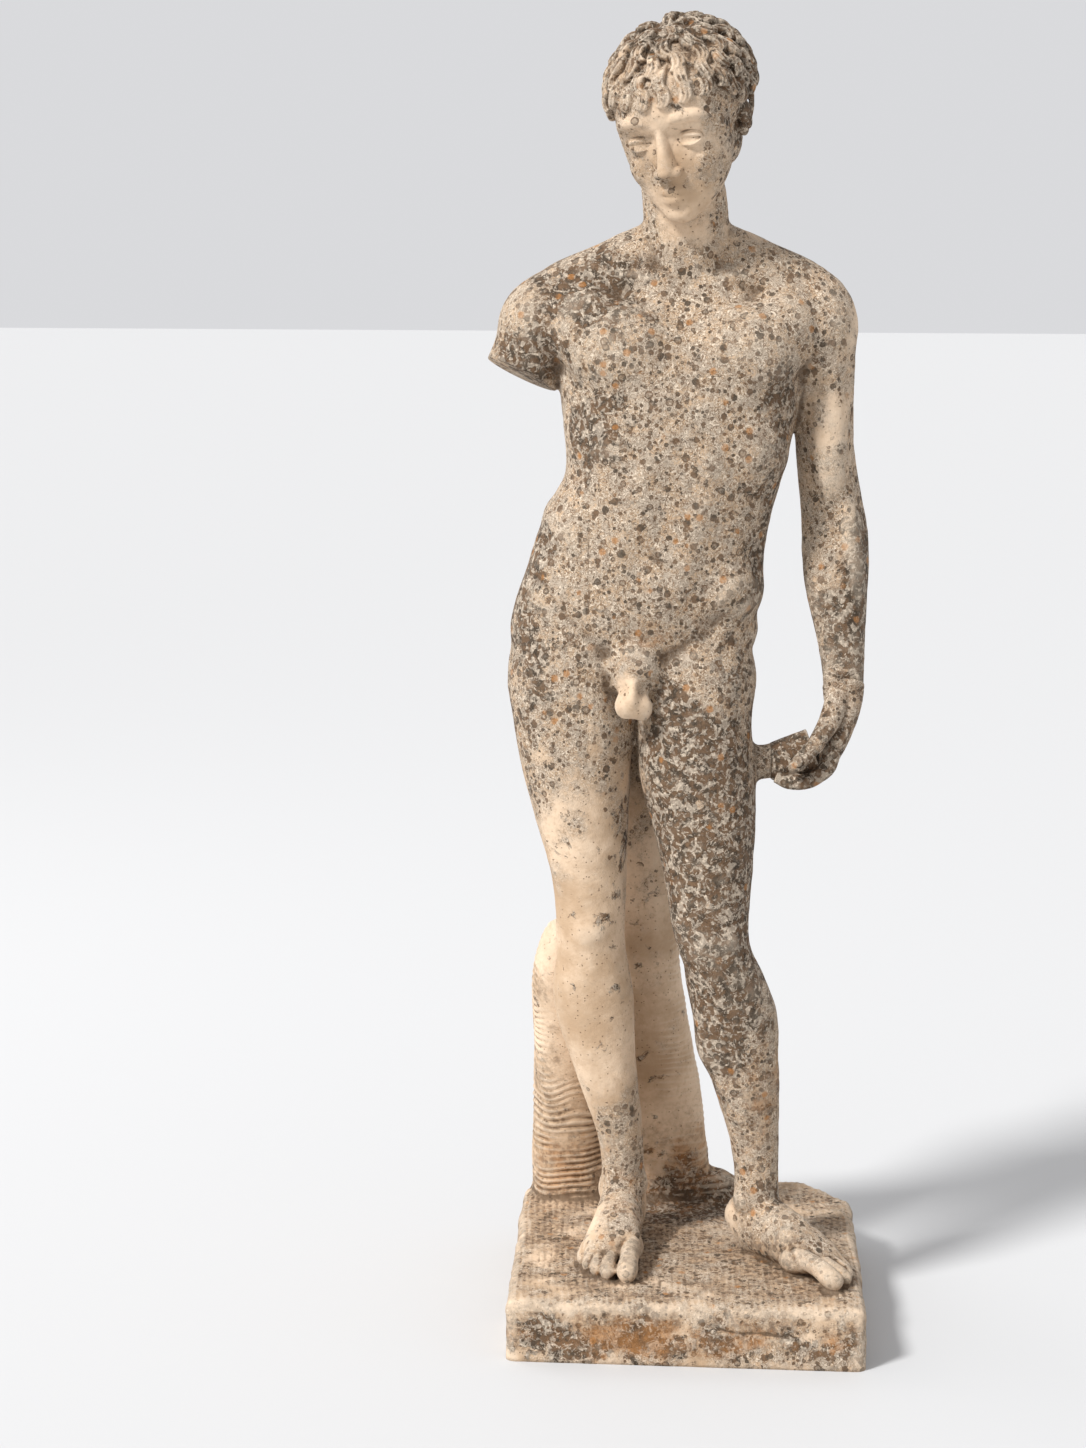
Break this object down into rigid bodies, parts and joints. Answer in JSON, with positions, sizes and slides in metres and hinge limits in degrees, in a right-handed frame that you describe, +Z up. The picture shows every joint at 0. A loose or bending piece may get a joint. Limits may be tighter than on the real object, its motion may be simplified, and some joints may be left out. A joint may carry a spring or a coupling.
{
  "type": "standing male statue with plinth",
  "caption": "Life-size nude male figure in weathered stone, one arm broken off, on a low rough plinth with a tree-trunk support.",
  "frame": {"origin": "centre of the plinth's underside", "axes": "+Z up; -Y is the front, square to the plinth's front face, and the figure faces it turned 5 degrees towards +X; +X is the figure's own left"},
  "size_m": [0.5148, 0.546, 1.7416],
  "materials": {
    "stone": "weathered, matt",
    "hand_stone": "weathered, matt"
  },
  "bodies": {
    "root": {"statue": "stone", "left_hand": "hand_stone"}
  },
  "joints": []
}
